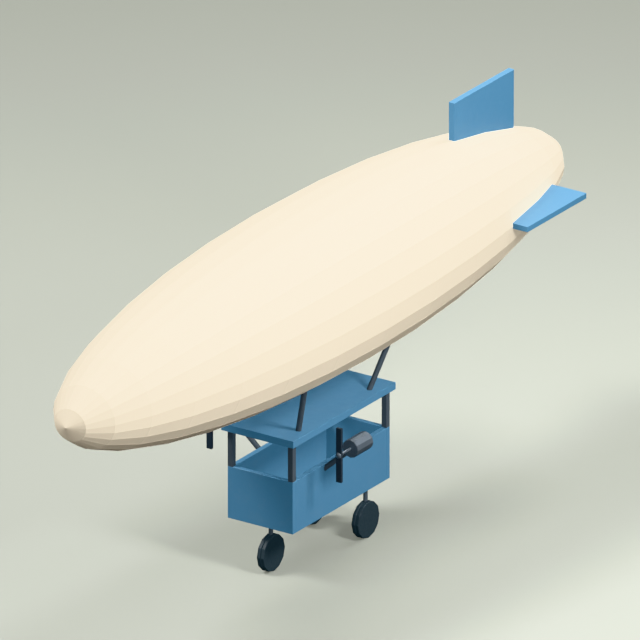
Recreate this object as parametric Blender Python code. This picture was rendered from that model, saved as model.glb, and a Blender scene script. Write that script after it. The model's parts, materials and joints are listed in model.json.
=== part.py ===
"""A small airship with an open gondola, two outrigger engines and tricycle landing gear.

Frame: metres, +Z up. The nose points along -Y, and +X is on the left of someone facing forward.
The origin is on the floor, under the middle of the envelope.
"""
import math

import bmesh
import bpy
from mathutils import Matrix, Vector

# Running fit between solids that touch
GAP = 0.0003

# Envelope: a faceted ellipsoid of flat gores, wider than it is tall
ENVELOPE_LENGTH = 18.16
ENVELOPE_WIDTH = 4.03
ENVELOPE_HEIGHT = 3.65
ENVELOPE_AXIS_Z = 5.8625
GORES = 24
RINGS = 16
SKIN = 0.010
TAIL_PORT_RADIUS = 0.15
TAIL_PLUG_DEPTH = 0.04

# Tail fins
TOP_FIN_CHORD = 2.268
TOP_FIN_THICKNESS = 0.135
TOP_FIN_FRONT_Y = 5.262
TOP_FIN_TOP_Z = 8.200
SIDE_FIN_THICKNESS = 0.124
SIDE_FIN_FRONT_Y = 5.072
SIDE_FIN_CHORD = 2.238
SIDE_FIN_SPAN = 4.07
SIDE_FIN_ROOT_X = 0.50

# Gondola: an open tub of flat panels
GONDOLA_WIDTH = 1.628
GONDOLA_FRONT_Y = -1.915
GONDOLA_REAR_Y = 1.722
GONDOLA_BOTTOM_Z = 1.1345
RIM_Z = 2.3025
WALL = 0.12
FLOOR_THICKNESS = 0.10

# Roof slab on four corner posts
ROOF_BOTTOM_Z = 3.1285
ROOF_TOP_Z = 3.287
ROOF_SIDE_OVERHANG = 0.088
ROOF_FRONT_OVERHANG = 0.107
ROOF_REAR_OVERHANG = 0.090
POST_SIDE = 0.124

# Four splayed struts from the roof to the envelope
STRUT_RADIUS = 0.062
STRUT_SIDES = 12
STRUT_FOOT_X = 0.654
STRUT_FRONT_Y = -1.46
STRUT_REAR_Y = 1.20
STRUT_LEAN_OUT = 0.301
STRUT_LEAN_ALONG = 0.235
STRUT_REACH_Z = 4.70

# Engines, each a twelve-sided block on one slanted outrigger arm
ENGINE_X = 1.62
ENGINE_Z = 2.9285
ENGINE_FRONT_Y = -0.980
ENGINE_LENGTH = 0.58
ENGINE_RADIUS = 0.20
ENGINE_SIDES = 12
ENGINE_CHAMFER = 0.010
ARM_RADIUS = 0.058
ARM_SIDES = 12
ARM_FOOT_Z = 2.2185

# Two-blade tractor propellers
PROPELLER_Y = -1.38
PROPELLER_LENGTH = 1.214
BLADE_WIDTH = 0.130
BLADE_THICKNESS = 0.066
HUB_RADIUS = 0.078
HUB_DOME_STEPS = 5
SHAFT_RADIUS = 0.034
SHAFT_BORE_DEPTH = 0.14
SHAFT_END_PLAY = 0.008
STUD_RADIUS = 0.018
STUD_LENGTH = 0.092
ROUND_SIDES = 24

# Landing gear: twin-disc wheels, with a slot between the discs for the leg's blade
WHEEL_RADIUS = 0.405
WHEEL_WIDTH = 0.172
WHEEL_SLOT = 0.014
WHEEL_SIDES = 12
WHEEL_CHAMFER = 0.008
AXLE_RADIUS = 0.030
AXLE_COVER = 0.012
AXLE_END_PLAY = 0.002
LEG_RADIUS = 0.048
LEG_SHANK_BOTTOM_Z = 0.818
LEG_BLADE_THICKNESS = 0.004
LEG_BLADE_HALF_WIDTH = 0.035
LEG_BLADE_ROOT = 0.035
LEG_EYE_RADIUS = 0.055
NOSE_WHEEL_Y = -1.517
MAIN_WHEEL_Y = 1.040
MAIN_WHEEL_X = 0.660
SPIGOT_RADIUS = 0.028
SPIGOT_LENGTH = 0.070
SPIGOT_CLEARANCE = 0.0005
SHOULDER_GAP = 0.003

EDGE = 0.004

# Half sizes and places that follow from the driving dimensions
HALF_LENGTH = ENVELOPE_LENGTH / 2
HALF_WIDTH = ENVELOPE_WIDTH / 2
HALF_HEIGHT = ENVELOPE_HEIGHT / 2
SIDE_X = GONDOLA_WIDTH / 2
INNER_X = SIDE_X - WALL
ENGINE_REAR_Y = ENGINE_FRONT_Y + ENGINE_LENGTH
ENGINE_MIDDLE_Y = (ENGINE_FRONT_Y + ENGINE_REAR_Y) / 2

SIDES = (("left", 1), ("right", -1))


def clear_scene():
    for leftover in list(bpy.data.objects):
        bpy.data.objects.remove(leftover, do_unlink=True)


def material(name, colour, roughness, metallic=0.0):
    """A Principled material with a plain colour."""
    made = bpy.data.materials.new(name)
    made.use_nodes = True
    shader = made.node_tree.nodes["Principled BSDF"]
    shader.inputs["Base Color"].default_value = (*colour, 1.0)
    shader.inputs["Roughness"].default_value = roughness
    shader.inputs["Metallic"].default_value = metallic
    return made


def add_object(name, mesh_data, finish=None, location=(0, 0, 0), parent=None):
    """Put a mesh into the scene; with a parent, the location is still given in the world."""
    piece = bpy.data.objects.new(name, mesh_data)
    bpy.context.scene.collection.objects.link(piece)
    offset = parent.location if parent else Vector()
    piece.parent = parent
    piece.location = Vector(location) - offset
    if finish:
        mesh_data.materials.append(finish)
    return piece


def add_pivot(name, location):
    """An empty on a joint's axis, which carries the pieces that turn about it."""
    pivot = bpy.data.objects.new(name, None)
    bpy.context.scene.collection.objects.link(pivot)
    pivot.location = location
    return pivot


def mesh_of(name, vertices, faces):
    """A closed mesh with its faces turned outwards."""
    made = bpy.data.meshes.new(name)
    made.from_pydata(vertices, [], faces)
    shape = bmesh.new()
    shape.from_mesh(made)
    bmesh.ops.recalc_face_normals(shape, faces=shape.faces)
    shape.to_mesh(made)
    shape.free()
    return made


def smooth_rounds(mesh_data):
    """Smooth shading on the round faces, with crisp edges where they meet flat ones."""
    mesh_data.shade_smooth()
    mesh_data.set_sharp_from_angle(angle=math.radians(32))


def soften(piece, width=EDGE):
    """A narrow chamfer on the sharp edges of a panel."""
    bevel = piece.modifiers.new("edge", "BEVEL")
    bevel.width = width
    bevel.segments = 1
    bevel.limit_method = "ANGLE"
    bevel.angle_limit = math.radians(40)
    return piece


def box(name, low, high, finish=None, edge=EDGE):
    """A rectangular panel between two corners, with softened edges."""
    low, high = Vector(low), Vector(high)
    middle = (low + high) / 2
    shape = bmesh.new()
    bmesh.ops.create_cube(shape, size=1.0)
    bmesh.ops.scale(shape, vec=high - low, verts=shape.verts)
    made = bpy.data.meshes.new(name)
    shape.to_mesh(made)
    shape.free()
    panel = add_object(name, made, finish, middle)
    if edge:
        soften(panel, edge)
    return panel


def turned(name, profile, sides, axis="Z"):
    """Revolve an outline of (radius, height) points into a solid with flat sides.

    The outline starts and ends on the axis, or it is a closed loop for a ring. The axis is
    X, Y or Z.
    """
    vertices = []
    loops = []
    ring_shaped = profile[0] == profile[-1]
    for radius, height in profile[:-1] if ring_shaped else profile:
        if radius == 0:
            loops.append([len(vertices)])
            vertices.append(Vector((0, 0, height)))
            continue
        loops.append(list(range(len(vertices), len(vertices) + sides)))
        for index in range(sides):
            angle = 2 * math.pi * index / sides
            vertices.append(Vector((radius * math.cos(angle), radius * math.sin(angle), height)))
    if ring_shaped:
        loops.append(loops[0])
    faces = []
    for near, far in zip(loops, loops[1:]):
        for index in range(sides):
            after = (index + 1) % sides
            quad = [near[index % len(near)], near[after % len(near)], far[after % len(far)],
                    far[index % len(far)]]
            faces.append(list(dict.fromkeys(quad)))
    turn = {"X": Matrix(((0, 0, 1), (0, 1, 0), (-1, 0, 0))),
            "Y": Matrix(((1, 0, 0), (0, 0, 1), (0, -1, 0))),
            "Z": Matrix.Identity(3)}[axis]
    return mesh_of(name, [turn @ vertex for vertex in vertices], faces)


def tube_between(name, outline, bottom, top):
    """A prism with the same outline, a list of offsets, around its two end points."""
    count = len(outline)
    vertices = [Vector(bottom) + offset for offset in outline]
    vertices += [Vector(top) + offset for offset in outline]
    faces = [list(range(count))[::-1], list(range(count, 2 * count))]
    for index in range(count):
        after = (index + 1) % count
        faces.append([index, after, count + after, count + index])
    return mesh_of(name, vertices, faces)


def tool(name, mesh_data, location=(0, 0, 0), parent=None):
    """A guide solid that only shapes its neighbours."""
    guide = add_object(name, mesh_data, None, location, parent)
    guide.hide_render = True
    guide.display_type = "WIRE"
    return guide


def combine(piece, guide, operation):
    """Join or cut with a guide solid."""
    step = piece.modifiers.new(guide.name, "BOOLEAN")
    step.operation = operation
    step.object = guide
    step.solver = "EXACT"
    return piece


def envelope_point(ring, gore, grow):
    """A corner of the faceted ellipsoid, pushed out by grow along the surface's normal."""
    along = math.pi * ring / RINGS
    around = 2 * math.pi * gore / GORES
    corner = Vector((HALF_WIDTH * math.sin(along) * math.cos(around),
                     -HALF_LENGTH * math.cos(along),
                     HALF_HEIGHT * math.sin(along) * math.sin(around)))
    normal = Vector((corner.x / HALF_WIDTH ** 2, corner.y / HALF_LENGTH ** 2,
                     corner.z / HALF_HEIGHT ** 2)).normalized()
    return corner + normal * grow / math.cos(math.pi / GORES)


def tail_share():
    """How far up the last row of facets, from its ring to the tail's tip, the port is cut."""
    return 1 - TAIL_PORT_RADIUS / envelope_point(RINGS - 1, 0, 0).x


def port_corner(gore, grow):
    """A corner of the port's rim on the tail's last facets."""
    ring = envelope_point(RINGS - 1, gore, grow)
    tip = envelope_point(RINGS, 0, grow)
    return ring.lerp(tip, tail_share())


def envelope_layer(grow, vertices, faces):
    """One skin of the envelope, from the nose's tip to the tail port; returns the rim."""
    start = len(vertices)
    vertices.append(envelope_point(0, 0, grow))
    for ring in range(1, RINGS):
        vertices.extend(envelope_point(ring, gore, grow) for gore in range(GORES))
    vertices.extend(port_corner(gore, grow) for gore in range(GORES))

    def corner(ring, gore):
        return start + 1 + (ring - 1) * GORES + gore % GORES

    faces.extend([start, corner(1, gore), corner(1, gore + 1)] for gore in range(GORES))
    for ring in range(1, RINGS):
        faces.extend([corner(ring, gore), corner(ring, gore + 1), corner(ring + 1, gore + 1),
                      corner(ring + 1, gore)] for gore in range(GORES))
    return [corner(RINGS, gore) for gore in range(GORES)]


def make_envelope(fabric):
    """The thin shell, open only at its tail port, and the cone that closes the port."""
    vertices = []
    faces = []
    outer_rim = envelope_layer(0, vertices, faces)
    inner_rim = envelope_layer(-SKIN, vertices, faces)
    for gore in range(GORES):
        after = (gore + 1) % GORES
        faces.append([outer_rim[gore], outer_rim[after], inner_rim[after], inner_rim[gore]])
    centre = (0, 0, ENVELOPE_AXIS_Z)
    add_object("envelope", mesh_of("envelope", vertices, faces), fabric, centre)

    rim = [port_corner(gore, 0) for gore in range(GORES)]
    shrink = (TAIL_PORT_RADIUS - SKIN) / TAIL_PORT_RADIUS
    seat_y = rim[0].y + GAP
    cone = [Vector((point.x, seat_y, point.z)) for point in rim]
    neck = [Vector((point.x * shrink, seat_y, point.z * shrink)) for point in rim]
    plug = [Vector((point.x, seat_y - TAIL_PLUG_DEPTH, point.z)) for point in neck]
    tip = envelope_point(RINGS, 0, 0) + Vector((0, GAP, 0))
    cap_vertices = cone + neck + plug + [tip]
    cap_faces = [[2 * GORES + gore for gore in range(GORES)]]
    for gore in range(GORES):
        after = (gore + 1) % GORES
        cap_faces.append([gore, after, 3 * GORES])
        cap_faces.append([gore, after, GORES + after, GORES + gore])
        cap_faces.append([GORES + gore, GORES + after, 2 * GORES + after, 2 * GORES + gore])
    add_object("tail_cap", mesh_of("tail_cap", cap_vertices, cap_faces), fabric, centre)


def envelope_guide():
    """The envelope's outer form, a running fit larger, as one solid."""
    vertices = []
    faces = []
    rim = envelope_layer(GAP, vertices, faces)
    tip = len(vertices)
    vertices.append(envelope_point(RINGS, 0, GAP))
    faces.extend([rim[gore], rim[(gore + 1) % GORES], tip] for gore in range(GORES))
    return tool("guide_envelope", mesh_of("guide_envelope", vertices, faces),
                (0, 0, ENVELOPE_AXIS_Z))


def make_fins(paint, around_envelope):
    """The top fin and the two side fins, cut to the envelope's facets."""
    half = TOP_FIN_THICKNESS / 2
    top = box("fin_top", (-half, TOP_FIN_FRONT_Y, ENVELOPE_AXIS_Z),
              (half, TOP_FIN_FRONT_Y + TOP_FIN_CHORD, TOP_FIN_TOP_Z), paint)
    combine(top, around_envelope, "DIFFERENCE")
    half = SIDE_FIN_THICKNESS / 2
    for side, sign in SIDES:
        near, far = sorted((sign * SIDE_FIN_ROOT_X, sign * SIDE_FIN_SPAN / 2))
        fin = box(f"fin_{side}", (near, SIDE_FIN_FRONT_Y, ENVELOPE_AXIS_Z - half),
                  (far, SIDE_FIN_FRONT_Y + SIDE_FIN_CHORD, ENVELOPE_AXIS_Z + half), paint)
        combine(fin, around_envelope, "DIFFERENCE")


def make_gondola(paint):
    """Floor and four walls; returns the floor, which the nose leg's spigot enters."""
    front_inner = GONDOLA_FRONT_Y + WALL
    rear_inner = GONDOLA_REAR_Y - WALL
    box("gondola_front_wall", (-SIDE_X, GONDOLA_FRONT_Y, GONDOLA_BOTTOM_Z),
        (SIDE_X, front_inner, RIM_Z), paint)
    box("gondola_rear_wall", (-SIDE_X, rear_inner, GONDOLA_BOTTOM_Z),
        (SIDE_X, GONDOLA_REAR_Y, RIM_Z), paint)
    for side, sign in SIDES:
        near, far = sorted((sign * INNER_X, sign * SIDE_X))
        box(f"gondola_{side}_wall", (near, front_inner + GAP, GONDOLA_BOTTOM_Z),
            (far, rear_inner - GAP, RIM_Z), paint)
    return box("gondola_floor", (-INNER_X + GAP, front_inner + GAP, GONDOLA_BOTTOM_Z),
               (INNER_X - GAP, rear_inner - GAP, GONDOLA_BOTTOM_Z + FLOOR_THICKNESS), paint)


def make_roof(paint, dark_paint):
    """The roof slab and the four posts that stand on the corners of the rim."""
    roof_x = SIDE_X + ROOF_SIDE_OVERHANG
    box("roof", (-roof_x, GONDOLA_FRONT_Y - ROOF_FRONT_OVERHANG, ROOF_BOTTOM_Z),
        (roof_x, GONDOLA_REAR_Y + ROOF_REAR_OVERHANG, ROOF_TOP_Z), paint)
    ends = (("front", GONDOLA_FRONT_Y), ("rear", GONDOLA_REAR_Y - POST_SIDE))
    for end, low_y in ends:
        for side, sign in SIDES:
            low_x, high_x = sorted((sign * (SIDE_X - POST_SIDE), sign * SIDE_X))
            box(f"post_{end}_{side}", (low_x, low_y, RIM_Z + GAP),
                (high_x, low_y + POST_SIDE, ROOF_BOTTOM_Z - GAP), dark_paint)


def circle_offsets(sides, first_radius, second_radius, first_axis, second_axis):
    """Offsets around an ellipse that lies along two axes."""
    return [first_axis * first_radius * math.cos(2 * math.pi * index / sides)
            + second_axis * second_radius * math.sin(2 * math.pi * index / sides)
            for index in range(sides)]


def make_struts(dark_paint, around_envelope):
    """Four struts with level feet on the roof, splayed out to the envelope's belly."""
    outline = circle_offsets(STRUT_SIDES, STRUT_RADIUS, STRUT_RADIUS, Vector((1, 0, 0)),
                             Vector((0, 1, 0)))
    foot_z = ROOF_TOP_Z + GAP
    rise = STRUT_REACH_Z - foot_z
    for end, foot_y, forward in (("front", STRUT_FRONT_Y, -1), ("rear", STRUT_REAR_Y, 1)):
        for side, sign in SIDES:
            foot = Vector((sign * STRUT_FOOT_X, foot_y, foot_z))
            lean = Vector((sign * STRUT_LEAN_OUT, forward * STRUT_LEAN_ALONG, 1))
            name = f"strut_{end}_{side}"
            mesh_data = tube_between(name, outline, (0, 0, 0), lean * rise)
            strut = add_object(name, mesh_data, dark_paint, foot)
            combine(strut, around_envelope, "DIFFERENCE")


def engine_profile(grow=0.0, bored=True):
    """The engine block's outline from its front face to its rear face, along its axis."""
    front, rear = -grow, ENGINE_LENGTH + grow
    outer = ENGINE_RADIUS + grow
    bore_radius = (SHAFT_RADIUS + GAP) / math.cos(math.pi / ENGINE_SIDES)
    bore = [(0, SHAFT_BORE_DEPTH), (bore_radius, SHAFT_BORE_DEPTH), (bore_radius, front)]
    return (bore if bored else [(0, front)]) + [
        (outer - ENGINE_CHAMFER, front), (outer, front + ENGINE_CHAMFER),
        (outer, rear - ENGINE_CHAMFER), (outer - ENGINE_CHAMFER, rear), (0, rear)]


def make_engines(metal, dark_paint):
    """Engine blocks and the slanted arms that carry them off the side walls."""
    block = turned("engine", engine_profile(), ENGINE_SIDES, "Y")
    grown = turned("guide_engine", engine_profile(GAP / math.cos(math.pi / ENGINE_SIDES), False),
                   ENGINE_SIDES, "Y")
    foot_x = SIDE_X + GAP
    slope = math.atan2(ENGINE_Z - ARM_FOOT_Z, ENGINE_X - foot_x)
    outline = circle_offsets(ARM_SIDES, ARM_RADIUS, ARM_RADIUS / math.cos(slope),
                             Vector((0, 1, 0)), Vector((0, 0, 1)))
    for side, sign in SIDES:
        nose_point = Vector((sign * ENGINE_X, ENGINE_FRONT_Y, ENGINE_Z))
        shape = block.copy()
        add_object(f"engine_{side}", shape, metal, nose_point)
        guide = tool(f"guide_engine_{side}", grown, nose_point)
        reach = Vector((sign * (ENGINE_X - foot_x), 0, ENGINE_Z - ARM_FOOT_Z))
        name = f"engine_arm_{side}"
        mesh_data = tube_between(name, outline, (0, 0, 0), reach)
        arm = add_object(name, mesh_data, dark_paint,
                         (sign * foot_x, ENGINE_MIDDLE_Y, ARM_FOOT_Z))
        combine(arm, guide, "DIFFERENCE")


def dome(face_offset):
    """The hub sphere's outline from the blade's face to its pole, as (radius, offset)."""
    start = math.asin(face_offset / HUB_RADIUS)
    points = []
    for step in range(HUB_DOME_STEPS):
        angle = start + (math.pi / 2 - start) * step / HUB_DOME_STEPS
        points.append((HUB_RADIUS * math.cos(angle), HUB_RADIUS * math.sin(angle)))
    return points


def make_propellers(metal, dark_paint):
    """Shaft with its rear half-hub, blade bar and front half-hub, on each engine's axis."""
    face = BLADE_THICKNESS / 2
    bore = STUD_RADIUS + GAP
    shaft_end = ENGINE_FRONT_Y + SHAFT_BORE_DEPTH - SHAFT_END_PLAY - PROPELLER_Y
    back_dome = [point for point in dome(face + GAP) if point[0] > SHAFT_RADIUS]
    collar = math.sqrt(HUB_RADIUS ** 2 - SHAFT_RADIUS ** 2)
    stud_end = face + GAP - STUD_LENGTH
    shaft_profile = ([(0, stud_end), (STUD_RADIUS, stud_end), (STUD_RADIUS, face + GAP)]
                     + back_dome
                     + [(SHAFT_RADIUS, collar), (SHAFT_RADIUS, shaft_end), (0, shaft_end)])
    front_dome = [(radius, -offset) for radius, offset in dome(face + GAP)]
    cap_profile = ([(0, stud_end - GAP), (bore, stud_end - GAP), (bore, -face - GAP)]
                   + front_dome + [(0, -HUB_RADIUS)])
    shaft_mesh = turned("propeller_shaft", shaft_profile, ROUND_SIDES, "Y")
    cap_mesh = turned("propeller_spinner", cap_profile, ROUND_SIDES, "Y")
    smooth_rounds(shaft_mesh)
    smooth_rounds(cap_mesh)
    drill = turned("guide_stud", [(0, -HUB_RADIUS), (bore, -HUB_RADIUS), (bore, HUB_RADIUS),
                                  (0, HUB_RADIUS)], ROUND_SIDES, "Y")
    for side, sign in SIDES:
        centre = Vector((sign * ENGINE_X, PROPELLER_Y, ENGINE_Z))
        pivot = add_pivot(f"pivot_propeller_{side}", centre)
        add_object(f"propeller_shaft_{side}", shaft_mesh.copy(), metal, centre, pivot)
        add_object(f"propeller_spinner_{side}", cap_mesh.copy(), metal, centre, pivot)
        reach = Vector((BLADE_WIDTH / 2, face, PROPELLER_LENGTH / 2))
        blade = box(f"propeller_blade_{side}", centre - reach, centre + reach, dark_paint)
        combine(blade, tool(f"guide_stud_{side}", drill, centre), "DIFFERENCE")
        blade.parent = pivot
        blade.location = (0, 0, 0)


def make_leg(name, centre, steered, dark_paint, pivot=None):
    """A straight leg whose thin blade drops into the wheel's slot and holds the axle."""
    shank_bottom = LEG_SHANK_BOTTOM_Z - centre.z
    floor_z = GONDOLA_BOTTOM_Z - centre.z
    if steered:
        shoulder = floor_z - SHOULDER_GAP
        top = [(LEG_RADIUS, shoulder), (SPIGOT_RADIUS, shoulder),
               (SPIGOT_RADIUS, floor_z + SPIGOT_LENGTH), (0, floor_z + SPIGOT_LENGTH)]
    else:
        top = [(LEG_RADIUS, floor_z - GAP), (0, floor_z - GAP)]
    shank = turned(name, [(0, shank_bottom), (LEG_RADIUS, shank_bottom)] + top, WHEEL_SIDES)
    leg = add_object(name, shank, dark_paint, centre, pivot)

    half = LEG_BLADE_THICKNESS / 2
    blade_top = shank_bottom + LEG_BLADE_ROOT
    outline = []
    for index in range(ROUND_SIDES // 2 + 1):
        angle = math.pi + math.pi * index / (ROUND_SIDES // 2)
        outline.append(Vector((0, LEG_EYE_RADIUS * math.cos(angle),
                               LEG_EYE_RADIUS * math.sin(angle))))
    shoulder_z = math.sqrt(LEG_EYE_RADIUS ** 2 - LEG_BLADE_HALF_WIDTH ** 2)
    outline.append(Vector((0, LEG_BLADE_HALF_WIDTH, shoulder_z)))
    outline.append(Vector((0, LEG_BLADE_HALF_WIDTH, blade_top)))
    outline.append(Vector((0, -LEG_BLADE_HALF_WIDTH, blade_top)))
    outline.append(Vector((0, -LEG_BLADE_HALF_WIDTH, shoulder_z)))
    blade = tube_between(f"guide_{name}_blade", outline, (-half, 0, 0), (half, 0, 0))
    combine(leg, tool(f"guide_{name}_blade", blade, centre, pivot), "UNION")
    bore = AXLE_RADIUS + GAP
    hole = turned(f"guide_{name}_bore", [(0, -LEG_RADIUS), (bore, -LEG_RADIUS),
                                         (bore, LEG_RADIUS), (0, LEG_RADIUS)], ROUND_SIDES, "X")
    combine(leg, tool(f"guide_{name}_bore", hole, centre, pivot), "DIFFERENCE")
    return leg


def disc_profile(sign):
    """One wheel disc with a plain outer face and a blind bore for the axle in its slot face."""
    slot_face = WHEEL_SLOT / 2
    outer_face = WHEEL_WIDTH / 2
    bore = (AXLE_RADIUS + GAP) / math.cos(math.pi / WHEEL_SIDES)
    profile = [(0, outer_face - AXLE_COVER), (bore, outer_face - AXLE_COVER), (bore, slot_face),
               (WHEEL_RADIUS - WHEEL_CHAMFER, slot_face),
               (WHEEL_RADIUS, slot_face + WHEEL_CHAMFER),
               (WHEEL_RADIUS, outer_face - WHEEL_CHAMFER),
               (WHEEL_RADIUS - WHEEL_CHAMFER, outer_face), (0, outer_face)]
    return [(radius, sign * offset) for radius, offset in profile]


def make_wheel(name, centre, rubber, metal, pivot=None):
    """Two discs that turn as one on an axle held by the leg's eye."""
    axle_end = WHEEL_WIDTH / 2 - AXLE_COVER - AXLE_END_PLAY
    axle = turned(f"{name}_axle", [(0, -axle_end), (AXLE_RADIUS, -axle_end),
                                   (AXLE_RADIUS, axle_end), (0, axle_end)], ROUND_SIDES, "X")
    smooth_rounds(axle)
    add_object(f"{name}_axle", axle, metal, centre, pivot)
    for side, sign in SIDES:
        disc = turned(f"{name}_disc_{side}", disc_profile(sign), WHEEL_SIDES, "X")
        add_object(f"{name}_disc_{side}", disc, rubber, centre, pivot)


def make_landing_gear(rubber, metal, dark_paint, floor_panel):
    """A steered nose leg and two fixed main legs, each with its twin-disc wheel."""
    nose = Vector((0, NOSE_WHEEL_Y, WHEEL_RADIUS))
    steering = add_pivot("pivot_nose_steering", nose)
    make_leg("nose_leg", nose, True, dark_paint, steering)
    make_wheel("nose_wheel", nose, rubber, metal, steering)
    socket_radius = SPIGOT_RADIUS + SPIGOT_CLEARANCE
    socket_top = SPIGOT_LENGTH + SHOULDER_GAP
    socket = turned("guide_socket", [(0, -EDGE), (socket_radius, -EDGE),
                                     (socket_radius, socket_top), (0, socket_top)], ROUND_SIDES)
    combine(floor_panel, tool("guide_socket", socket, (0, NOSE_WHEEL_Y, GONDOLA_BOTTOM_Z)),
            "DIFFERENCE")
    for side, sign in SIDES:
        centre = Vector((sign * MAIN_WHEEL_X, MAIN_WHEEL_Y, WHEEL_RADIUS))
        make_leg(f"main_leg_{side}", centre, False, dark_paint)
        make_wheel(f"main_wheel_{side}", centre, rubber, metal)


def main():
    clear_scene()
    fabric = material("envelope_fabric", (0.92, 0.83, 0.67), 0.75)
    blue_paint = material("blue_paint", (0.10, 0.26, 0.42), 0.45)
    dark_paint = material("dark_paint", (0.030, 0.045, 0.060), 0.50)
    metal = material("grey_metal", (0.32, 0.34, 0.40), 0.35, 0.8)
    rubber = material("wheel_rubber", (0.020, 0.030, 0.038), 0.70)

    make_envelope(fabric)
    around_envelope = envelope_guide()
    make_fins(blue_paint, around_envelope)
    floor_panel = make_gondola(blue_paint)
    make_roof(blue_paint, dark_paint)
    make_struts(dark_paint, around_envelope)
    make_engines(metal, dark_paint)
    make_propellers(metal, dark_paint)
    make_landing_gear(rubber, metal, dark_paint, floor_panel)


main()
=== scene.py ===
"""The airship's looks: the finish of every surface, the studio light and the camera."""
import json
import math

import bmesh
import bpy
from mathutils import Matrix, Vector


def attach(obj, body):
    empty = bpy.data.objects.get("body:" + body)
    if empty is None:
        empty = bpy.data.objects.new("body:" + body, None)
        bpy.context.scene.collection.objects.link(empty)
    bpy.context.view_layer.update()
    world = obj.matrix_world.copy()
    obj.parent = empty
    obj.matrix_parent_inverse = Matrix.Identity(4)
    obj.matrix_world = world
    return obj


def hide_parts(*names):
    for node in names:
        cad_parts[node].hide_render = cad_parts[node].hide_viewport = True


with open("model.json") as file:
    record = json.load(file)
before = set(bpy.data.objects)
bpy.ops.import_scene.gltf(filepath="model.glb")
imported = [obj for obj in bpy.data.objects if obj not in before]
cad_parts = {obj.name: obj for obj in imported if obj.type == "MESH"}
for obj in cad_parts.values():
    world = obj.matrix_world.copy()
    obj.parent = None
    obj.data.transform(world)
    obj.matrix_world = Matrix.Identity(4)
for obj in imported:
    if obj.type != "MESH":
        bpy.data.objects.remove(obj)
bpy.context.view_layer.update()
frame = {"nodes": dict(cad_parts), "record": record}

# Camera: a very long lens, far away, so that the view is nearly parallel
AZIMUTH = 33.755
ELEVATION = 22.691
DISTANCE = 601.893
FRAME_HEIGHT = 13.340               # height of the picture at the origin
FRAME_CENTRE = (0.1788, 4.7160)     # how far right of the origin and above it the camera looks
SENSOR = 36.0
CLIP = (1.0, 1200.0)

# Envelope: the same faceted ellipsoid as the solid shell, with tape over its seams
HALF_WIDTH = 2.015
HALF_LENGTH = 9.08
HALF_HEIGHT = 1.825
AXIS_Z = 5.8625
GORES = 24
RINGS = 16
TAPE_HALF_WIDTH = 0.022
TAPE_RISE = 0.0012
TAPE_SHARE = 0.3                # of a panel's width at most, where the panels grow narrow
RING_TAPE = (0.010, 0.013)      # where a ring's tape fades out, in spaces between rings
TIP_MARGIN = 1.0001             # keeps the tips inside the range of the arc cosine
ENVELOPE_THREAD = 0.0014
FIN_THREAD = 0.0012

# Propellers
PROPELLER_X = 1.62
PROPELLER_Y = -1.38
PROPELLER_Z = 2.9285
HUB_RADIUS = 0.078
SHAFT_RADIUS = 0.034
BLADE_HALF_THICKNESS = 0.033
BLADE_CLEARANCE = 0.0003
SHAFT_END_Y = -0.88
COLLAR_STEP = 0.002
HUB_POLE = 0.995                # share of the hub's radius where its arc begins
FRONT_STEPS = 16
BACK_STEPS = 12
LATHE_SIDES = 64
SHARP_ANGLE = 35

FLOOR_SIZE = 400.0

# Colours are linear red, green and blue
CREAM = (0.868, 0.761, 0.589)
BLUE = (0.105, 0.242, 0.381)
FIN_BLUE = (0.101, 0.246, 0.392)
SLATE = (0.092, 0.112, 0.130)
BLADE_BLACK = (0.048, 0.060, 0.074)
RUBBER = (0.049, 0.066, 0.077)
METAL = (0.193, 0.230, 0.268)
FLOOR = (0.368, 0.384, 0.336)
HORIZON = (0.26, 0.27, 0.24)
DUST = (0.42, 0.40, 0.36)
ROAD_DUST = (0.20, 0.19, 0.17)
TAPE_SHADE = 0.96

FABRIC_ROUGHNESS = 0.72
DOPE_ROUGHNESS = 0.50
PAINT_ROUGHNESS = 0.46
DARK_ROUGHNESS = 0.48
BLADE_ROUGHNESS = 0.42
METAL_ROUGHNESS = 0.38
RUBBER_ROUGHNESS = 0.62
FLOOR_ROUGHNESS = 0.9
METALLIC = 0.55
SATIN_SPECULAR = 0.3

# Softboxes: name, azimuth, elevation, distance, size, strength at the object
SOFTBOXES = (("key_box", 78, 40, 20, 4.5, 2.348),
             ("front_box", -47, 54, 60, 18, 2.818),
             ("back_box", 172, 54, 24, 7.2, 1.756),
             ("far_box", 172, 40, 55, 16.5, 0.797))
# Light from the walls and ceiling, without shadows: name, azimuth, elevation, strength
ROOM_GLOW = (("near_glow", 45, 20, 2.170),
             ("side_glow", 135, 20, 0.736),
             ("back_glow", 180, 45, 1.100),
             ("far_glow", -90, -20, 1.200),
             ("floor_glow", 0, -90, 0.420))
GLOW_SIZE = 30
SOFTBOX_AIM = Vector((0, 0, 3))


def direction(azimuth, elevation):
    """A unit vector from the object towards an azimuth and elevation."""
    turn, tilt = math.radians(azimuth), math.radians(elevation)
    return Vector((math.sin(turn) * math.cos(tilt), -math.cos(turn) * math.cos(tilt),
                   math.sin(tilt)))


def link(name, data):
    made = bpy.data.objects.new(name, data)
    bpy.context.scene.collection.objects.link(made)
    return made


def make_camera():
    turn, tilt = math.radians(AZIMUTH), math.radians(ELEVATION)
    right = Vector((math.cos(turn), math.sin(turn), 0))
    back = direction(AZIMUTH, ELEVATION)
    up = back.cross(right)
    data = bpy.data.cameras.new("camera")
    data.sensor_width = SENSOR
    data.lens = SENSOR * DISTANCE / FRAME_HEIGHT
    data.clip_start, data.clip_end = CLIP
    camera = link("camera", data)
    camera.rotation_euler = (math.pi / 2 - tilt, 0, turn)
    camera.location = right * FRAME_CENTRE[0] + up * FRAME_CENTRE[1] + back * DISTANCE
    bpy.context.scene.camera = camera


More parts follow.
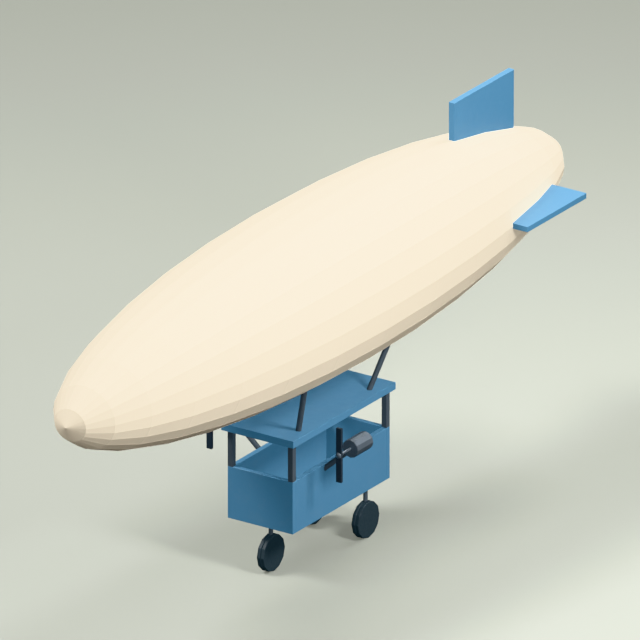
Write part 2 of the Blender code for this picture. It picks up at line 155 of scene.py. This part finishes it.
def make_lights():
    for name, azimuth, elevation, distance, size, strength in SOFTBOXES:
        data = bpy.data.lights.new(name, "AREA")
        data.shape = "SQUARE"
        data.size = size
        data.energy = strength * math.pi * distance ** 2
        lamp = link(name, data)
        way = direction(azimuth, elevation)
        lamp.location = SOFTBOX_AIM + way * distance
        lamp.rotation_euler = way.to_track_quat("Z", "Y").to_euler()
    for name, azimuth, elevation, strength in ROOM_GLOW:
        data = bpy.data.lights.new(name, "SUN")
        data.energy = strength
        data.angle = math.radians(GLOW_SIZE)
        data.use_shadow = False
        lamp = link(name, data)
        lamp.visible_glossy = False     # it has no shape that gloss could show
        lamp.rotation_euler = (math.pi / 2 - math.radians(elevation), 0, math.radians(azimuth))
    world = bpy.data.worlds.new("room")
    bpy.context.scene.world = world
    world.use_nodes = True
    world.node_tree.nodes["Background"].inputs["Color"].default_value = (*HORIZON, 1.0)
    world.cycles_visibility.diffuse = False      # a backdrop beyond the floor, which gives no light
    world.cycles_visibility.glossy = False


class Look:
    """A Principled material and a few short ways to add procedural detail to it."""

    def __init__(self, name, colour, roughness, metallic=0.0, flat=True):
        self.material = bpy.data.materials.new(name)
        self.material.use_nodes = True
        self.tree = self.material.node_tree
        self.shader = self.tree.nodes["Principled BSDF"]
        self.shader.inputs["Metallic"].default_value = metallic
        self.colour = self.rgb(colour)
        self.roughness = roughness
        self.normal = self.node("ShaderNodeNewGeometry").outputs["True Normal"] if flat else None
        self.place = self.node("ShaderNodeTexCoord").outputs["Object"]

    def node(self, kind, **settings):
        made = self.tree.nodes.new(kind)
        for key, value in settings.items():
            setattr(made, key, value)
        return made

    def rgb(self, colour):
        made = self.node("ShaderNodeRGB")
        made.outputs[0].default_value = (*colour, 1.0)
        return made.outputs[0]

    def set(self, socket, value):
        if isinstance(value, bpy.types.NodeSocket):
            self.tree.links.new(value, socket)
        else:
            socket.default_value = value

    def math(self, operation, first, second=0.0):
        made = self.node("ShaderNodeMath", operation=operation)
        self.set(made.inputs[0], first)
        self.set(made.inputs[1], second)
        return made.outputs[0]

    def noise(self, scale, detail=3.0, stretch=(1, 1, 1), rough=0.5):
        """Noise from 0 to 1 with a middle of 0.5; the scale is in features for each metre."""
        mapping = self.node("ShaderNodeMapping")
        self.set(mapping.inputs["Vector"], self.place)
        mapping.inputs["Scale"].default_value = stretch
        made = self.node("ShaderNodeTexNoise")
        self.set(made.inputs["Vector"], mapping.outputs[0])
        made.inputs["Scale"].default_value = scale
        made.inputs["Detail"].default_value = detail
        made.inputs["Roughness"].default_value = rough
        return made.outputs["Fac"]

    def remap(self, value, low, high, to_low=0.0, to_high=1.0):
        made = self.node("ShaderNodeMapRange")
        for socket, number in zip(made.inputs, (value, low, high, to_low, to_high)):
            self.set(socket, number)
        return made.outputs[0]

    def tint(self, mask, colour, amount=1.0):
        """Mix a colour in where the mask is white."""
        made = self.node("ShaderNodeMix", data_type="RGBA")
        self.set(made.inputs[0], self.math("MULTIPLY", mask, amount))
        self.set(made.inputs[6], self.colour)
        self.set(made.inputs[7], self.rgb(colour))
        self.colour = made.outputs[2]

    def shade(self, value, spread):
        """Brighten and darken the colour by a spread around a value's middle of 0.5."""
        made = self.node("ShaderNodeVectorMath", operation="SCALE")
        self.set(made.inputs[0], self.colour)
        self.set(made.inputs["Scale"], self.remap(value, 0.25, 0.75, 1 - spread, 1 + spread))
        self.colour = made.outputs[0]

    def vary_roughness(self, value, spread):
        change = self.remap(value, 0.25, 0.75, -spread, spread)
        self.roughness = self.math("ADD", change, self.roughness)

    def bump(self, height, distance):
        """Relief of a height from 0 to 1; the distance is in metres."""
        made = self.node("ShaderNodeBump")
        made.inputs["Distance"].default_value = distance
        self.set(made.inputs["Height"], height)
        if self.normal:
            self.set(made.inputs["Normal"], self.normal)
        self.normal = made.outputs[0]

    def weave(self, pitch):
        """Height of a plain weave of threads at a pitch in metres, the same from all sides."""
        parts = self.node("ShaderNodeSeparateXYZ")
        self.set(parts.inputs[0], self.place)
        waves = [self.math("SINE", self.math("MULTIPLY", socket, math.pi / pitch))
                 for socket in parts.outputs]
        first = self.math("MULTIPLY", waves[0], waves[1])
        second = self.math("MULTIPLY", waves[1], waves[2])
        third = self.math("MULTIPLY", waves[2], waves[0])
        total = self.math("ADD", self.math("ADD", first, second), third)
        return self.remap(total, -1.5, 1.5)

    def finish(self):
        self.set(self.shader.inputs["Base Color"], self.colour)
        self.set(self.shader.inputs["Roughness"], self.roughness)
        if self.normal:
            self.set(self.shader.inputs["Normal"], self.normal)
        return self.material


def envelope_look():
    """Coated fabric: a fine weave, cloth panels of slightly different shade, and ring seams."""
    look = Look("envelope_fabric", CREAM, FABRIC_ROUGHNESS)
    parts = look.node("ShaderNodeSeparateXYZ")
    look.set(parts.inputs[0], look.place)
    x, y, z = parts.outputs
    along = look.math("ARCCOSINE", look.math("DIVIDE", y, -HALF_LENGTH * TIP_MARGIN))
    ring = look.math("MULTIPLY", along, RINGS / math.pi)
    around = look.math("ARCTAN2", look.math("DIVIDE", z, HALF_HEIGHT),
                       look.math("DIVIDE", x, HALF_WIDTH))
    gore = look.math("MULTIPLY", around, GORES / (2 * math.pi))

    panel = look.node("ShaderNodeCombineXYZ")
    look.set(panel.inputs[0], look.math("FLOOR", ring))
    look.set(panel.inputs[1], look.math("FLOOR", gore))
    chance = look.node("ShaderNodeTexWhiteNoise", noise_dimensions="3D")
    look.set(chance.inputs["Vector"], panel.outputs[0])
    look.shade(chance.outputs["Value"], 0.003)
    look.shade(look.noise(1.3, 4), 0.008)
    look.shade(look.noise(14, 3), 0.006)

    from_seam = look.math("FRACT", look.math("ADD", ring, 0.5))
    from_seam = look.math("ABSOLUTE", look.math("SUBTRACT", from_seam, 0.5))
    tape = look.remap(from_seam, *RING_TAPE, 1.0, 0.0)
    look.tint(tape, tuple(part * TAPE_SHADE for part in CREAM), 0.35)
    look.bump(tape, 0.0008)
    look.bump(look.weave(ENVELOPE_THREAD), 0.00025)
    look.vary_roughness(look.noise(5, 3), 0.05)
    return look.finish()


def fin_look():
    """Doped fabric pulled tight over a frame: a fine weave under an even coat."""
    look = Look("blue_fin_fabric", FIN_BLUE, DOPE_ROUGHNESS)
    look.shader.inputs["Specular IOR Level"].default_value = SATIN_SPECULAR
    look.shade(look.noise(1.7, 4), 0.020)
    look.shade(look.noise(30, 2), 0.010)
    look.bump(look.noise(260, 2), 0.00015)
    look.bump(look.weave(FIN_THREAD), 0.00010)
    look.vary_roughness(look.noise(6, 3), 0.05)
    return look.finish()


def paint_look(name, colour, roughness):
    """Satin paint: a slight peel, a faint haze of dust and uneven gloss."""
    look = Look(name, colour, roughness)
    look.shader.inputs["Specular IOR Level"].default_value = SATIN_SPECULAR
    look.shade(look.noise(1.1, 4), 0.018)
    look.shade(look.noise(45, 3), 0.012)
    dust = look.remap(look.noise(3.5, 6, rough=0.65), 0.52, 0.80)
    look.tint(dust, DUST, 0.05)
    look.bump(look.noise(180, 2), 0.00012)
    look.vary_roughness(look.noise(7, 4), 0.06)
    return look.finish()


def metal_look(name, flat, grain):
    """Satin metal, its fine grain drawn out around the propeller's axis."""
    look = Look(name, METAL, METAL_ROUGHNESS, METALLIC, flat)
    look.shade(look.noise(9, 4), 0.05)
    look.shade(look.noise(70, 2, grain), 0.05)
    look.bump(look.noise(240, 2, grain), 0.00006)
    look.vary_roughness(look.noise(60, 3, grain), 0.08)
    return look.finish()


def rubber_look():
    """Matt rubber: a fine grain, and a little dust."""
    look = Look("wheel_rubber", RUBBER, RUBBER_ROUGHNESS)
    look.shade(look.noise(12, 4), 0.06)
    dust = look.remap(look.noise(16, 6, rough=0.7), 0.50, 0.82)
    look.tint(dust, ROAD_DUST, 0.07)
    look.bump(look.noise(320, 3), 0.00025)
    look.vary_roughness(look.noise(20, 4), 0.08)
    return look.finish()


def floor_look():
    """Plain matt floor, with only a trace of unevenness."""
    look = Look("floor", FLOOR, FLOOR_ROUGHNESS)
    look.shade(look.noise(0.5, 2), 0.002)
    return look.finish()


def make_floor():
    mesh = bpy.data.meshes.new("floor")
    half = FLOOR_SIZE / 2
    mesh.from_pydata([(-half, -half, 0), (half, -half, 0), (half, half, 0), (-half, half, 0)], [],
                     [(0, 1, 2, 3)])
    floor = link("floor", mesh)
    mesh.materials.append(floor_look())
    floor.visible_diffuse = False       # the studio's light from below is part of the room's glow
    floor.visible_glossy = False


def add_piece(name, mesh, look, body, replaced, location=(0, 0, 0)):
    """A new visible piece, which rides on a body and stands for the nodes it replaces."""
    piece = link(name, mesh)
    piece.location = location
    mesh.materials.append(look)
    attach(piece, body)
    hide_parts(*replaced)
    return piece


def envelope_point(ring, gore, grow=0.0):
    """A corner of the faceted ellipsoid around its own centre, pushed out along its normal."""
    along = math.pi * ring / RINGS
    around = 2 * math.pi * gore / GORES
    corner = Vector((HALF_WIDTH * math.sin(along) * math.cos(around),
                     -HALF_LENGTH * math.cos(along),
                     HALF_HEIGHT * math.sin(along) * math.sin(around)))
    normal = Vector((corner.x / HALF_WIDTH ** 2, corner.y / HALF_LENGTH ** 2,
                     corner.z / HALF_HEIGHT ** 2)).normalized()
    return corner + normal * grow


def add_panels(shape):
    """The flat cloth panels, from the nose's tip to the tail's tip."""
    rows = [[shape.verts.new(envelope_point(0, 0))] * GORES]
    for ring in range(1, RINGS):
        rows.append([shape.verts.new(envelope_point(ring, gore)) for gore in range(GORES)])
    rows.append([shape.verts.new(envelope_point(RINGS, 0))] * GORES)
    for low, high in zip(rows, rows[1:]):
        for gore in range(GORES):
            after = (gore + 1) % GORES
            corners = [low[gore], low[after], high[after], high[gore]]
            shape.faces.new(list(dict.fromkeys(corners)))


def tape_section(ring, gore):
    """Five points across the tape over one long seam, from foot to foot."""
    centre = envelope_point(ring, gore)
    rise = envelope_point(ring, gore, TAPE_RISE) - centre
    feet = []
    for side in (-1, 1):
        edge = envelope_point(ring, gore + side) - centre
        reach = min(TAPE_HALF_WIDTH, edge.length * TAPE_SHARE)
        feet.append(centre + edge.normalized() * reach)
    return [feet[0], feet[0] + rise, centre + rise, feet[1] + rise, feet[1]]


def make_envelope(look):
    """The skin of flat cloth panels, with a bonded tape over each of the long seams."""
    shape = bmesh.new()
    add_panels(shape)
    for gore in range(GORES):
        rows = [[shape.verts.new(point) for point in tape_section(ring, gore)]
                for ring in range(1, RINGS)]
        for low, high in zip(rows, rows[1:]):
            for index in range(4):
                shape.faces.new([low[index], low[index + 1], high[index + 1], high[index]])
    bmesh.ops.recalc_face_normals(shape, faces=shape.faces)
    mesh = bpy.data.meshes.new("envelope_skin")
    shape.to_mesh(mesh)
    shape.free()
    skin = add_piece("envelope_skin", mesh, look, "airframe",
                     ("envelope", "tail_cap"), (0, 0, AXIS_Z))
    skin.visible_diffuse = False        # its pale cloth throws no glow on the fin and the roof


def make_fins(look):
    """The cloth cover of each fin."""
    for name in ("fin_top", "fin_left", "fin_right"):
        node = frame["nodes"][name]
        mesh = node.data.copy()
        mesh.name = f"{name}_cover"
        mesh.materials.clear()
        cover = add_piece(f"{name}_cover", mesh, look, "airframe", (name,))
        cover.matrix_world = node.matrix_world.copy()


def lathe(name, profile):
    """Revolve (radius, offset) points about an axis along Y."""
    shape = bmesh.new()
    rows = []
    turns = [2 * math.pi * index / LATHE_SIDES for index in range(LATHE_SIDES)]
    for radius, offset in profile:
        if radius == 0:
            rows.append([shape.verts.new((0, offset, 0))] * LATHE_SIDES)
        else:
            rows.append([shape.verts.new((radius * math.cos(turn), offset,
                                          radius * math.sin(turn))) for turn in turns])
    for low, high in zip(rows, rows[1:]):
        for index in range(LATHE_SIDES):
            after = (index + 1) % LATHE_SIDES
            corners = list(dict.fromkeys([low[index], low[after], high[after], high[index]]))
            if len(corners) > 2:
                shape.faces.new(corners)
    bmesh.ops.recalc_face_normals(shape, faces=shape.faces)
    mesh = bpy.data.meshes.new(name)
    shape.to_mesh(mesh)
    shape.free()
    mesh.shade_smooth()
    mesh.set_sharp_from_angle(angle=math.radians(SHARP_ANGLE))
    return mesh


def hub_arc(start, end, steps):
    """Points on the hub's sphere between two offsets along its axis."""
    low, high = math.asin(start / HUB_RADIUS), math.asin(end / HUB_RADIUS)
    angles = [low + (high - low) * step / steps for step in range(steps + 1)]
    return [(HUB_RADIUS * math.cos(angle), HUB_RADIUS * math.sin(angle)) for angle in angles]


def make_hubs(look):
    """The round spinner in front of each blade bar, and the shaft with its collar behind it."""
    face = BLADE_HALF_THICKNESS + BLADE_CLEARANCE
    collar = math.sqrt(HUB_RADIUS ** 2 - SHAFT_RADIUS ** 2)
    length = SHAFT_END_Y - PROPELLER_Y
    front = ([(0, -HUB_RADIUS)] + hub_arc(-HUB_RADIUS * HUB_POLE, -face, FRONT_STEPS)
             + [(0, -face)])
    back = ([(0, face)] + hub_arc(face, collar, BACK_STEPS)
            + [(SHAFT_RADIUS, collar + COLLAR_STEP), (SHAFT_RADIUS, length), (0, length)])
    for side, sign in (("left", 1), ("right", -1)):
        centre = (sign * PROPELLER_X, PROPELLER_Y, PROPELLER_Z)
        add_piece(f"spinner_{side}", lathe(f"spinner_{side}", front), look,
                  f"propeller_{side}", (f"propeller_spinner_{side}",), centre)
        add_piece(f"shaft_{side}", lathe(f"shaft_{side}", back), look,
                  f"propeller_{side}", (f"propeller_shaft_{side}",), centre)


def dress():
    """Give each solid the look of its material slot, and add the pieces that replace some."""
    looks = {"envelope_fabric": envelope_look(),
             "blue_fin_fabric": fin_look(),
             "blue_paint": paint_look("blue_paint", BLUE, PAINT_ROUGHNESS),
             "dark_paint": paint_look("dark_paint", SLATE, DARK_ROUGHNESS),
             "grey_metal": metal_look("grey_metal", True, (1, 8, 1)),
             "wheel_rubber": rubber_look()}
    blade = paint_look("blade_paint", BLADE_BLACK, BLADE_ROUGHNESS)
    for part in frame["record"]["subparts"]:
        node = frame["nodes"][part["node"]]
        look = looks[part["material_slot"]]
        if "blade" in part["node"]:
            look = blade
        if part["material_slot"] == "blue_paint":
            node.visible_diffuse = False        # the panels throw no blue glow on each other
        for slot in node.material_slots:
            slot.material = look
    make_envelope(looks["envelope_fabric"])
    make_fins(looks["blue_fin_fabric"])
    make_hubs(metal_look("turned_metal", False, (1, 10, 1)))


bpy.context.scene.view_settings.view_transform = "Khronos PBR Neutral"
make_camera()
make_floor()
dress()
make_lights()
